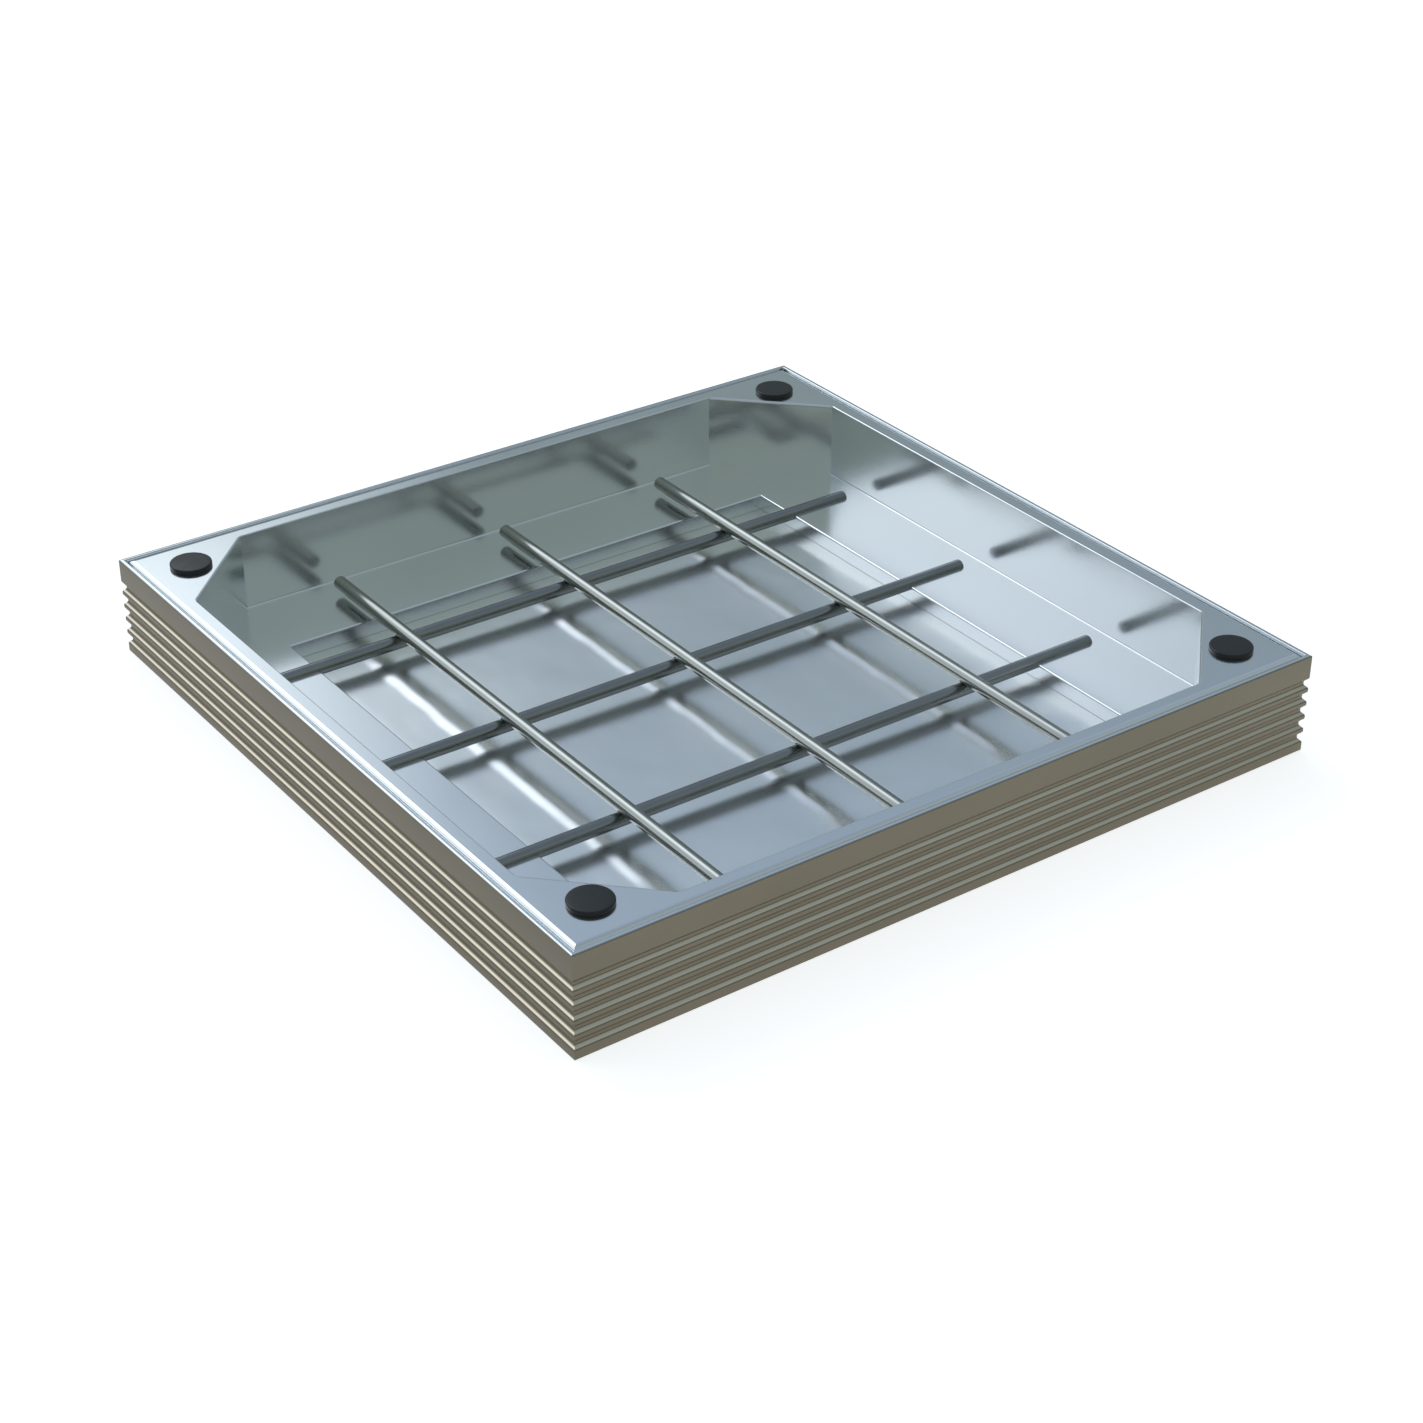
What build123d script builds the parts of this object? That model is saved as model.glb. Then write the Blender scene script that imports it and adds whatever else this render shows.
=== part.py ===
# Recessed access cover: a ribbed aluminium frame and a lift-out tray for paving.
# Millimetres, +Z up. The origin is the middle of the frame's underside.
# +X runs along the front side to the right, +Y runs from the front side to the back.
import os
from math import sqrt

from build123d import *

# Plan of the frame: the clear opening and the foot around it
clear_opening = 600.0
seat_width = 50.0

# Frame rail: ribbed wall, thinner lip beside the tray, hollow foot with the seat on top
lip_thickness = 4.0
web_behind_ribs = 2.6
rib_depth = 3.0
rib_tip = 3.45
groove_count = 5
rib_round = 2.2
groove_floor = 3.0
groove_round = 2.0
top_band = 20.85
bottom_band = 8.35
frame_edge_round = 1.0
lip_round = 2.4
frame_root_round = 3.0
foot_wall = 3.0

# Tray rail: flange with a rounded shoulder and a skirt, wall, ledge, step and toe
tray_gap = 1.5
flange_width = 15.3
flange_thickness = 3.0
shoulder_round = 5.0
skirt_height = 12.0
skirt_clearance = 5.0
tray_wall = 2.5
recess_depth = 70.0
ledge_width = 81.7
ledge_thickness = 3.0
ledge_round = 1.5
root_round = 1.5
floor_step = 14.2
toe_length = 10.0
toe_thickness = 1.8
toe_clearance = 0.5
lip_break = 1.0

# Floor sheet, welded down onto the toes
floor_thickness = 1.5
floor_gap = 0.25

# Rubber strips between the frame's seat and the tray's ledge
gasket_thickness = 3.0
gasket_width = 18.0
gasket_setback = 7.2

# Corner boxes, folded from sheet
corner_leg = 83.0
corner_sheet = 3.0
corner_fold_round = 2.0

# Lifting sockets and their caps
key_hole_radius = 10.0
socket_width = 28.0
socket_height = 24.0
thread_radius = 5.1
cap_radius = 17.7
cap_height = 4.0
cap_bevel = 1.3
stem_gap = 0.1
stem_end_gap = 0.3

# Reinforcing bars, welded where they cross, the lower ones cut half round where they lie on the ledge
bar_diameter = 12.0
seat_set_down = 6.5
crossing_set_down = 0.5
lower_bar_count = 3
lower_bar_pitch = 169.8
lower_bar_offset = 31.4
lower_bar_end_gap = 19.2
upper_bar_count = 3
upper_bar_pitch = 169.8
upper_bar_offset = 2.6
upper_bar_end_gap = 22.2

# Heights up from the frame's underside, worked out from the tray's toe
floor_under = toe_clearance + toe_thickness
floor_top = floor_under + floor_thickness
ledge_top = floor_top + floor_step
ledge_under = ledge_top - ledge_thickness
seat_top = ledge_under - gasket_thickness
overall_height = ledge_top + recess_depth
flange_under = overall_height - flange_thickness
skirt_bottom = overall_height - skirt_height
socket_top = overall_height - corner_sheet

# Distances out from the middle
seat_edge = clear_opening / 2
half_size = seat_edge + seat_width
frame_inside = half_size - rib_depth - web_behind_ribs
lip_inside = half_size - lip_thickness
tray_edge = lip_inside - tray_gap
tray_inside = tray_edge - flange_width
ledge_edge = tray_inside - ledge_width

# The cap stands in the middle of the corner's triangle, equally far from its three sides
cap_place = tray_inside - corner_leg * (1 - sqrt(0.5))
bar_radius = bar_diameter / 2
lower_bar_axis = ledge_top + bar_radius - seat_set_down
upper_bar_axis = lower_bar_axis + bar_diameter - crossing_set_down

# The sides in turn from the front one, and the corners in turn from the front left one
SIDES = ("front", "right", "back", "left")
CORNERS = ("front_left", "front_right", "back_right", "back_left")


def outline(*points):
    """A closed flat shape with straight sides."""
    return make_face(Polyline(*points, close=True))


def rounded(face, point, radius):
    """The face with its corner at a point rounded."""
    nearest = face.vertices().sort_by_distance(Vector(*point))[0]
    return fillet(nearest, radius)


def run(face, half_length):
    """A section of the front side, given as distance out and height, run along X."""
    return extrude(Plane.YZ * mirror(face, Plane.YZ), amount=half_length, both=True)


def mitred(face, half_length):
    """The front side's rail: a section run along X, with both ends cut at 45 degrees."""
    reach = half_length + overall_height
    quarter = outline((0, 0), (-reach, -reach), (reach, -reach))
    return run(face, half_length) & extrude(quarter, amount=overall_height)


def around(piece, turn):
    """A piece of the front side or front left corner, turned to another one."""
    return Rot(0, 0, 90 * turn) * piece


def grooves():
    """The grooves between the ribs, down the outer face from the top band."""
    bands = top_band + bottom_band + (groove_count - 1) * rib_tip
    mouth = (overall_height - bands) / groove_count
    bottom = half_size - rib_depth
    shapes = []
    for number in range(groove_count):
        top = overall_height - top_band - number * (mouth + rib_tip)
        middle = top - mouth / 2
        shapes.append(
            outline(
                (half_size, top - mouth),
                (bottom, middle - groove_floor / 2),
                (bottom, middle + groove_floor / 2),
                (half_size, top),
            )
        )
    return shapes


def frame_section():
    """Ribbed wall with a lip at the top and a hollow foot that carries the seat."""
    lip_bottom = skirt_bottom - skirt_clearance
    taper = lip_inside - frame_inside
    face = outline(
        (half_size, 0),
        (half_size, overall_height),
        (lip_inside, overall_height),
        (lip_inside, lip_bottom),
        (frame_inside, lip_bottom - taper),
        (frame_inside, seat_top),
        (seat_edge, seat_top),
        (seat_edge, 0),
    )
    for corner in ((half_size, overall_height), (half_size, 0), (seat_edge, seat_top)):
        face = rounded(face, corner, frame_edge_round)
    face = rounded(face, (lip_inside, overall_height), lip_round)
    face = rounded(face, (frame_inside, seat_top), frame_root_round)
    for groove in grooves():
        face -= groove
        for corner in groove.vertices():
            radius = rib_round if corner.X > half_size - rib_depth / 2 else groove_round
            face = rounded(face, (corner.X, corner.Y), radius)
    chamber = outline(
        (seat_edge + foot_wall, foot_wall),
        (frame_inside, foot_wall),
        (frame_inside, seat_top - foot_wall),
        (seat_edge + foot_wall, seat_top - foot_wall),
    )
    return face - chamber


def tray_section():
    """Flange and skirt, wall and ledge, and a step down to the toe that carries the floor."""
    face = outline(
        (tray_edge, skirt_bottom),
        (tray_edge, overall_height),
        (tray_inside, overall_height),
        (tray_inside, ledge_top),
        (ledge_edge, ledge_top),
        (ledge_edge, floor_under),
        (ledge_edge - toe_length, floor_under),
        (ledge_edge - toe_length, toe_clearance),
        (ledge_edge + tray_wall, toe_clearance),
        (ledge_edge + tray_wall, ledge_under),
        (tray_inside + tray_wall, ledge_under),
        (tray_inside + tray_wall, flange_under),
        (tray_edge - tray_wall, flange_under),
        (tray_edge - tray_wall, skirt_bottom),
    )
    inner_shoulder = max(shoulder_round - tray_wall, root_round)
    face = rounded(face, (tray_edge, overall_height), shoulder_round)
    face = rounded(face, (tray_edge - tray_wall, flange_under), inner_shoulder)
    face = rounded(face, (tray_inside, ledge_top), root_round)
    face = rounded(face, (tray_inside + tray_wall, ledge_under), root_round)
    return rounded(face, (ledge_edge, ledge_top), ledge_round)


def tray_rail():
    """The front tray rail, its inner top edge rounded over between the corner boxes."""
    low = overall_height - lip_break
    far = tray_inside + lip_break
    edge = outline((tray_inside, low), (far, low), (far, overall_height), (tray_inside, overall_height))
    sliver = edge - Pos(far, low) * Circle(lip_break)
    return mitred(tray_section(), tray_edge) - run(sliver, tray_inside - corner_leg)


def gasket_strip():
    """The front strip of the rubber seal that the ledge rests on, set back from the tray's wall."""
    outer = tray_inside - gasket_setback
    inner = outer - gasket_width
    strip = outline((inner, seat_top), (outer, seat_top), (outer, ledge_under), (inner, ledge_under))
    return mitred(strip, outer)


def floor_sheet():
    """The flat floor between the steps of the four tray rails."""
    side = 2 * (ledge_edge - floor_gap)
    return Pos(0, 0, floor_under) * extrude(Rectangle(side, side), amount=floor_thickness)


def corner_prism(setback, height):
    """A right triangle in the front left corner of the recess, stood on the ledge."""
    leg = corner_leg - setback * sqrt(2)
    near = leg - tray_inside
    triangle = outline((-tray_inside, -tray_inside), (near, -tray_inside), (-tray_inside, near))
    return Pos(0, 0, ledge_top) * extrude(triangle, amount=height)


def corner_box(rails):
    """The front left corner box: a triangular top and an upright face, fitted to the rails."""
    box = corner_prism(0, recess_depth) - corner_prism(corner_sheet, recess_depth - corner_sheet)
    top_edges = box.edges().filter_by(Plane.XY).group_by(Axis.Z)[-1]
    fold = top_edges.sort_by_distance(Vector(0, 0, overall_height))[0]
    box = fillet(fold, corner_fold_round)
    for rail in rails:
        box -= rail
    key_hole = extrude(Circle(key_hole_radius), amount=corner_sheet)
    return box - Pos(-cap_place, -cap_place, socket_top) * key_hole


def lifting_socket():
    """Square threaded block under the front left corner box, bored for the lifting key."""
    section = Rectangle(socket_width, socket_width) - Circle(thread_radius)
    return Pos(-cap_place, -cap_place, socket_top - socket_height) * extrude(section, amount=socket_height)


def corner_cap():
    """The front left cap: a bevelled disc whose short stem fills the key hole."""
    stem = key_hole_radius - stem_gap
    stem_end = socket_top + stem_end_gap
    top = overall_height + cap_height
    profile = outline(
        (0, stem_end),
        (stem, stem_end),
        (stem, overall_height),
        (cap_radius, overall_height),
        (cap_radius, top - cap_bevel),
        (cap_radius - cap_bevel, top),
        (0, top),
    )
    return Pos(-cap_place, -cap_place, 0) * revolve(Plane.XZ * profile, Axis.Z)


def bar(length):
    """A round bar along X."""
    return extrude(Plane.YZ * Circle(bar_radius), amount=length / 2, both=True)


def spread(count, pitch, offset):
    """Places of evenly spaced bars about an offset, from the lowest up."""
    return [offset + pitch * (number - (count - 1) / 2) for number in range(count)]


def lower_bars():
    """Bars along X in line with the ledge, with half-round ends that lie on it."""
    length = 2 * (tray_inside - lower_bar_end_gap)
    bedding = Box(length, bar_diameter, bar_diameter) - Box(2 * ledge_edge, bar_diameter, bar_diameter)
    piece = Pos(0, 0, lower_bar_axis) * bar(length) - Pos(0, 0, ledge_top - bar_radius) * bedding
    places = spread(lower_bar_count, lower_bar_pitch, lower_bar_offset)
    return [Pos(0, place, 0) * piece for place in places]


def upper_bars(lower):
    """Bars along Y, pressed into the lower bars where they are welded to them."""
    length = 2 * (tray_inside - upper_bar_end_gap)
    piece = Pos(0, 0, upper_bar_axis) * (Rot(0, 0, 90) * bar(length))
    bars = []
    for place in spread(upper_bar_count, upper_bar_pitch, upper_bar_offset):
        upper = Pos(place, 0, 0) * piece
        for crossing in lower:
            upper -= crossing
        bars.append(upper)
    return bars


def build():
    """Every piece of the cover by name."""
    pieces = {}
    frame = mitred(frame_section(), half_size)
    tray = tray_rail()
    gasket = gasket_strip()
    for turn, side in enumerate(SIDES):
        pieces["frame_rail_" + side] = around(frame, turn)
        pieces["seat_gasket_" + side] = around(gasket, turn)
        pieces["tray_rail_" + side] = around(tray, turn)
    pieces["tray_floor"] = floor_sheet()
    box = corner_box((pieces["tray_rail_front"], pieces["tray_rail_left"]))
    socket = lifting_socket()
    cap = corner_cap()
    for turn, corner in enumerate(CORNERS):
        pieces["corner_box_" + corner] = around(box, turn)
        pieces["lifting_socket_" + corner] = around(socket, turn)
        pieces["corner_cap_" + corner] = around(cap, turn)
    lower = lower_bars()
    for number, piece in enumerate(lower, 1):
        pieces["lower_bar_%d" % number] = piece
    for number, piece in enumerate(upper_bars(lower), 1):
        pieces["upper_bar_%d" % number] = piece
    return pieces


os.makedirs("parts", exist_ok=True)
for name, piece in build().items():
    export_step(piece, "parts/%s.step" % name)
    print(name, round(piece.volume))
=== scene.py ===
from math import cos, pi, radians, sin

import bpy
from mathutils import Matrix, Vector


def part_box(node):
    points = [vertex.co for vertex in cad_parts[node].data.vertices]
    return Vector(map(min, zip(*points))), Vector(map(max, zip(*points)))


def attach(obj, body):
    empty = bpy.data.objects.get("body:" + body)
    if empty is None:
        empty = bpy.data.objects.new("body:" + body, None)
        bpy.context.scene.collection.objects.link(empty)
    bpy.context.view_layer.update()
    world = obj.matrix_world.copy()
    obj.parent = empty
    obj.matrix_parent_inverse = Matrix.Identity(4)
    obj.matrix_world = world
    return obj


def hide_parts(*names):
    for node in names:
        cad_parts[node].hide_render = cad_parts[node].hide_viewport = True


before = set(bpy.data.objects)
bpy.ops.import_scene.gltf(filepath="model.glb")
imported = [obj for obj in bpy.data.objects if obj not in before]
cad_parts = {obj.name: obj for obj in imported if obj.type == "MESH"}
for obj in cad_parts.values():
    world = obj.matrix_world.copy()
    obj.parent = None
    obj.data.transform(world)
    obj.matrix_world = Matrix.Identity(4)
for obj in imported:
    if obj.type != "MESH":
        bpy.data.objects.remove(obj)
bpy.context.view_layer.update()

bl_info = {
    "name": "Recessed Access Cover",
    "version": (1, 0, 0),
    "blender": (4, 5, 0),
    "location": "View3D > Sidebar > Access Cover",
    "description": "Dresses a recessed access cover: ribbed frame, lift-out tray, bars and caps",
    "category": "Object",
}

BODY = "root"
SIDES = ("front", "right", "back", "left")
CORNERS = ("front_left", "front_right", "back_right", "back_left")
MM = 0.001
FLOOR_GAP = 0.25 * MM
SHARP_ANGLE = radians(32)

# Places read from the frame, in metres
frame_low, frame_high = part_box("frame_rail_front")
cap_low, cap_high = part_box("corner_cap_front_left")
floor_low, floor_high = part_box("tray_floor")
half_size = -frame_low.y
top_height = frame_high.z
foot_edge = -frame_high.y
foot_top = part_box("seat_gasket_front")[0].z
ledge_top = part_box("corner_box_front_left")[0].z
ledge_edge = floor_high.y + FLOOR_GAP


# Properties

def length(name, description, default):
    """A size in metres."""
    return bpy.props.FloatProperty(
        name=name, description=description, default=default, unit="LENGTH", precision=5, min=0.0
    )


def facets(description, default, low, high):
    """How many facets a turned piece has."""
    return bpy.props.IntProperty(name="Facets", description=description, default=default, min=low, max=high)


def colour(name, description, default):
    """A surface colour, linear."""
    return bpy.props.FloatVectorProperty(
        name=name, description=description, default=default, subtype="COLOR", size=3, min=0.0, max=1.0
    )


def position(name, description, default):
    """A place in metres."""
    return bpy.props.FloatVectorProperty(
        name=name, description=description, default=default, subtype="TRANSLATION"
    )


class CoverFrameSizes(bpy.types.PropertyGroup):
    """Section of the ribbed frame rail."""

    groove_count: bpy.props.IntProperty(
        name="Grooves", description="Grooves down the outer face", default=5, min=1, max=12
    )
    top_band: length("Top band", "Plain band above the first groove", 20.85 * MM)
    bottom_band: length("Bottom band", "Plain band below the last groove", 8.35 * MM)
    rib_tip: length("Rib tip", "Flat width of each rib's tip", 3.45 * MM)
    rib_depth: length("Rib depth", "Depth of the grooves", 3.0 * MM)
    groove_floor: length("Groove floor", "Flat width at the bottom of a groove", 3.0 * MM)
    rib_round: length("Rib round", "Radius at the rib tips", 2.2 * MM)
    groove_round: length("Groove round", "Radius at the groove floors", 2.0 * MM)
    web: length("Web", "Metal left behind the grooves", 2.6 * MM)
    lip: length("Lip", "Thickness of the lip beside the tray", 4.0 * MM)
    lip_height: length("Lip height", "Height of the thin lip at the top", 17.0 * MM)
    edge: length("Edge", "Radius at the bottom edge and the foot's edge", 1.0 * MM)
    crest: length("Crest", "Radius at the lip's outer edge", 1.4 * MM)
    lip_round: length("Lip round", "Radius at the lip's inner edge", 0.8 * MM)
    root: length("Root", "Radius where the wall meets the foot", 3.0 * MM)
    foot_wall: length("Foot wall", "Wall round the hollow in the foot", 3.0 * MM)


class CoverTraySizes(bpy.types.PropertyGroup):
    """How far welding pulled the tray's floor sheet out of flat."""

    pull: length("Pull", "How far the sheet is lifted beside each upper bar", 0.9 * MM)
    lead: length("Lead", "How far before a bar's edge its pull begins", 28.0 * MM)


class CoverBarSizes(bpy.types.PropertyGroup):
    """Sizes of the reinforcing bars."""

    end_round: length("End round", "Radius at the bars' ends", 2.0 * MM)
    steps: facets("Facets round a bar", 48, 12, 128)


class CoverCapSizes(bpy.types.PropertyGroup):
    """Sizes of the corner caps."""

    edge: length("Edge", "Radius at the disc's top edge", 1.3 * MM)
    foot: length("Foot", "Radius at the disc's bottom edge", 0.6 * MM)
    dome: length("Dome", "How far the disc's middle stands above its edge", 0.2 * MM)
    steps: facets("Facets round a cap", 96, 24, 256)


class CoverFinishes(bpy.types.PropertyGroup):
    """Colours of the finishes, with the painted light and shade of the frame and of the lower bars."""

    # The frame's outer faces are painted darker than its metal as shade, the front and back ones lighter
    # than the left and right ones as painted light
    side: colour("Frame side", "Dull extruded left and right faces of the frame, painted dark as shade", (0.143, 0.127, 0.092))
    front: colour("Frame front", "Dull extruded front and back faces of the frame, painted dark as shade and lighter than the sides as painted light", (0.180, 0.160, 0.120))
    lip: colour("Frame lip", "Bare flat top and inner faces of the frame", (0.78, 0.81, 0.83))
    # The lip's rounded outer edge is painted darker than its flat top as shade
    crest: colour("Frame crest", "Rounded outer edge of the lip", (0.42, 0.43, 0.43))
    tray: colour("Tray", "Bright aluminium of the tray", (0.84, 0.86, 0.88))
    sheet: colour("Tray floor", "Bright rolled sheet of the tray's floor", (0.93, 0.94, 0.94))
    # The ribs' upward flanks get the lighter metal as a painted highlight
    flank_highlight: colour("Flank highlight", "Painted highlight on the ribs' upper flanks", (0.72, 0.62, 0.51))
    bar: colour("Upper bars", "Bright drawn steel", (0.38, 0.39, 0.37))
    # The lower bars are the upper bars' steel painted darker as shade
    lower: colour("Lower bars", "Darker drawn steel", (0.30, 0.31, 0.315))
    socket: colour("Sockets", "Turned steel", (0.60, 0.60, 0.58))
    cap: colour("Caps", "Black plastic", (0.013, 0.013, 0.014))
    seal: colour("Seal", "Black rubber", (0.030, 0.030, 0.030))


class CoverStage(bpy.types.PropertyGroup):
    """Camera and light."""

    lens: bpy.props.FloatProperty(
        name="Lens", description="Focal length on a 36 mm frame", default=70.485, unit="CAMERA"
    )
    camera_place: position("Camera", "Where the camera stands", (-1.15278, -1.63724, 1.17901))
    camera_aim: position("Aim", "Point that the camera looks at", (-0.05122, -0.09209, 0.05))
    floor_size: length("Floor", "Side of the floor", 24.0)


# Shader helpers

CLOUD_RANGE = (0.3, 0.7)
LINE_DETAIL = 3.0
LINE_ROUGH = 0.6


def new_material(name):
    """An empty node material."""
    material = bpy.data.materials.new(name)
    material.use_nodes = True
    material.node_tree.nodes.clear()
    return material


def principled(material, base, metallic, roughness):
    """The surface shader of a material, joined to its output."""
    tree = material.node_tree
    shader = tree.nodes.new("ShaderNodeBsdfPrincipled")
    shader.inputs["Base Color"].default_value = (*base, 1.0)
    shader.inputs["Metallic"].default_value = metallic
    shader.inputs["Roughness"].default_value = roughness
    output = tree.nodes.new("ShaderNodeOutputMaterial")
    tree.links.new(shader.outputs["BSDF"], output.inputs["Surface"])
    return shader


def stretched_noise(tree, scale, detail, rough=0.5):
    """Noise on Object coordinates, with its own scale along each axis."""
    coordinates = tree.nodes.new("ShaderNodeTexCoord")
    mapping = tree.nodes.new("ShaderNodeMapping")
    mapping.inputs["Scale"].default_value = scale
    noise = tree.nodes.new("ShaderNodeTexNoise")
    noise.inputs["Scale"].default_value = 1.0
    noise.inputs["Detail"].default_value = detail
    noise.inputs["Roughness"].default_value = rough
    tree.links.new(coordinates.outputs["Object"], mapping.inputs["Vector"])
    tree.links.new(mapping.outputs["Vector"], noise.inputs["Vector"])
    return noise.outputs["Fac"]


def fine_lines(tree, along, fine, slow):
    """Noise drawn out into fine lines along one axis."""
    scale = [fine, fine, fine]
    scale[along] = slow
    return stretched_noise(tree, scale, LINE_DETAIL, LINE_ROUGH)


def figure(tree, operation, a, b=0.0):
    """A math node on two sockets or numbers."""
    node = tree.nodes.new("ShaderNodeMath")
    node.operation = operation
    for socket, value in zip(node.inputs, (a, b)):
        if isinstance(value, (int, float)):
            socket.default_value = value
        else:
            tree.links.new(value, socket)
    return node.outputs["Value"]


def ranged(tree, source, low, high, to_low, to_high, kind="LINEAR"):
    """A value moved from one range to another."""
    node = tree.nodes.new("ShaderNodeMapRange")
    node.interpolation_type = kind
    node.inputs["From Min"].default_value = low
    node.inputs["From Max"].default_value = high
    node.inputs["To Min"].default_value = to_low
    node.inputs["To Max"].default_value = to_high
    tree.links.new(source, node.inputs["Value"])
    return node.outputs["Result"]


def under(tree, source, face, depths, to_low, to_high):
    """A value that changes between two depths under a face of the frame, the deeper one first."""
    return ranged(tree, source, face - depths[0], face - depths[1], to_low, to_high)


def bump(tree, source, distance, strength=1.0, below=None):
    """A bump from a height, laid over another one."""
    node = tree.nodes.new("ShaderNodeBump")
    node.inputs["Strength"].default_value = strength
    node.inputs["Distance"].default_value = distance
    tree.links.new(source, node.inputs["Height"])
    if below is not None:
        tree.links.new(below.outputs["Normal"], node.inputs["Normal"])
    return node


def blend(tree, source, first, second):
    """A mix of two colours."""
    mix = tree.nodes.new("ShaderNodeMix")
    mix.data_type = "RGBA"
    for socket, tint in zip((mix.inputs["A"], mix.inputs["B"]), (first, second)):
        socket.default_value = (*tint, 1.0)
    tree.links.new(source, mix.inputs["Factor"])
    return mix


def tinted(tree, source, base, spread):
    """A colour that drifts a little lighter and darker than its base."""
    darker = [part * (1 - spread) for part in base]
    lighter = [min(1.0, part * (1 + spread)) for part in base]
    return blend(tree, source, darker, lighter)


def clouded(tree, shader, base, scale, spread, roughness):
    """Lets a finish drift in colour and between two roughnesses, in clouds of one scale."""
    cloud = stretched_noise(tree, (scale, scale, scale), 3.0)
    tone = tinted(tree, cloud, base, spread)
    tree.links.new(tone.outputs["Result"], shader.inputs["Base Color"])
    rough = ranged(tree, cloud, *CLOUD_RANGE, *roughness)
    tree.links.new(rough, shader.inputs["Roughness"])


# Finishes

# Depth in metres and strength of each finish's relief
ROLLED_RELIEF = (0.00002, 0.35)
EXTRUDED_RELIEF = (0.00003, 0.5)
DRAWN_RELIEF = (0.00003, 0.5)
TURNED_RELIEF = (0.00004, 0.6)
MOULDED_RELIEF = (0.00005, 0.5)

# Roughness of the frame's dull faces, painted darker as shade, and of its smoother, lighter faces
FRAME_DULL = 0.38
FRAME_BARE = 0.14

# Roughness and fineness of the grain of the black pieces
CAP_SURFACE = (0.30, 2500.0)
SEAL_SURFACE = (0.75, 1800.0)

# How far a face of the frame leans upward where its painted highlight begins and where it counts as flat
FLANK_LEAN = (0.52, 0.68)
FLAT_LEAN = (0.90, 0.98)

# Depths under the frame's top or side between which its painted light and shade change
LIP_DEPTHS = (3.0 * MM, 2.0 * MM)
GROOVE_DEPTHS = (2.1 * MM, 1.5 * MM)
RIM_DEPTHS = (2.6 * MM, 2.2 * MM)
INNER_DEPTHS = (3.7 * MM, 3.3 * MM)


def bright_aluminium(name, base, along, dull, waves=0.0):
    """Rolled or drawn aluminium: nearly a mirror, with faint lines along one axis and slow waves."""
    material = new_material(name)
    tree = material.node_tree
    shader = principled(material, base, metallic=1.0, roughness=dull)
    clouded(tree, shader, base, scale=7.0, spread=0.035, roughness=(dull - 0.03, dull + 0.03))
    relief = bump(tree, fine_lines(tree, along, fine=900.0, slow=8.0), *ROLLED_RELIEF)
    if waves:
        swell = stretched_noise(tree, (26.0, 20.0, 20.0), 1.0)
        relief = bump(tree, swell, waves, 1.0, relief)
    tree.links.new(relief.outputs["Normal"], shader.inputs["Normal"])
    return material


def frame_aluminium(name, side, lip, crest, flank_highlight, along, deep):
    """Extruded aluminium, dull on its outer faces, which are painted darker as shade; its top, its inner
    faces and the upward flanks of its ribs are smoother and lighter, the flanks as a painted highlight. The
    lip's rounded outer edge is painted darker as shade.

    How much of the painted highlight the flanks keep at the bottom of the grooves is given by deep, from 0
    to 1; the rest is painted shade.
    """
    material = new_material(name)
    tree = material.node_tree
    shader = principled(material, side, metallic=1.0, roughness=FRAME_DULL)
    coordinates = tree.nodes.new("ShaderNodeTexCoord")
    split = tree.nodes.new("ShaderNodeSeparateXYZ")
    tree.links.new(coordinates.outputs["Object"], split.inputs["Vector"])
    lean = tree.nodes.new("ShaderNodeSeparateXYZ")
    tree.links.new(coordinates.outputs["Normal"], lean.inputs["Vector"])
    # Painted light and shade: faces that lean upward get the lighter metal as a painted highlight, the
    # others the darker face colour as painted shade
    upward = ranged(tree, lean.outputs["Z"], *FLANK_LEAN, 0.0, 1.0)
    flat = ranged(tree, lean.outputs["Z"], *FLAT_LEAN, 0.0, 1.0)
    reach = figure(tree, "ABSOLUTE", split.outputs["X"])
    reach = figure(tree, "MAXIMUM", reach, figure(tree, "ABSOLUTE", split.outputs["Y"]))
    edge = under(tree, split.outputs["Z"], top_height, LIP_DEPTHS, 0.0, 1.0)
    # Painted shade deep in the grooves: below the outer part of a flank its painted highlight fades to deep
    outer = under(tree, reach, half_size, GROOVE_DEPTHS, deep, 1.0)
    inner = under(tree, reach, half_size, INNER_DEPTHS, 1.0, 0.0)
    inside = under(tree, reach, half_size, RIM_DEPTHS, 1.0, 0.0)
    highlight_mask = figure(tree, "MULTIPLY", upward, figure(tree, "MAXIMUM", outer, edge))
    highlight_mask = figure(tree, "MAXIMUM", highlight_mask, inner)
    # Painted shade on the lip's rounded outer edge, which is neither flat nor inside
    rim = blend(tree, figure(tree, "MAXIMUM", flat, inside), crest, lip)
    bright = blend(tree, figure(tree, "MAXIMUM", edge, inner), flank_highlight, lip)
    tree.links.new(rim.outputs["Result"], bright.inputs["B"])
    tone = tinted(tree, stretched_noise(tree, (9.0, 9.0, 14.0), 4.0), side, spread=0.10)
    mix = blend(tree, highlight_mask, side, lip)
    tree.links.new(tone.outputs["Result"], mix.inputs["A"])
    tree.links.new(bright.outputs["Result"], mix.inputs["B"])
    tree.links.new(mix.outputs["Result"], shader.inputs["Base Color"])
    rough = ranged(tree, highlight_mask, 0.0, 1.0, FRAME_DULL, FRAME_BARE)
    tree.links.new(rough, shader.inputs["Roughness"])
    relief = bump(tree, fine_lines(tree, along, fine=700.0, slow=6.0), *EXTRUDED_RELIEF)
    tree.links.new(relief.outputs["Normal"], shader.inputs["Normal"])
    return material


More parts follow.
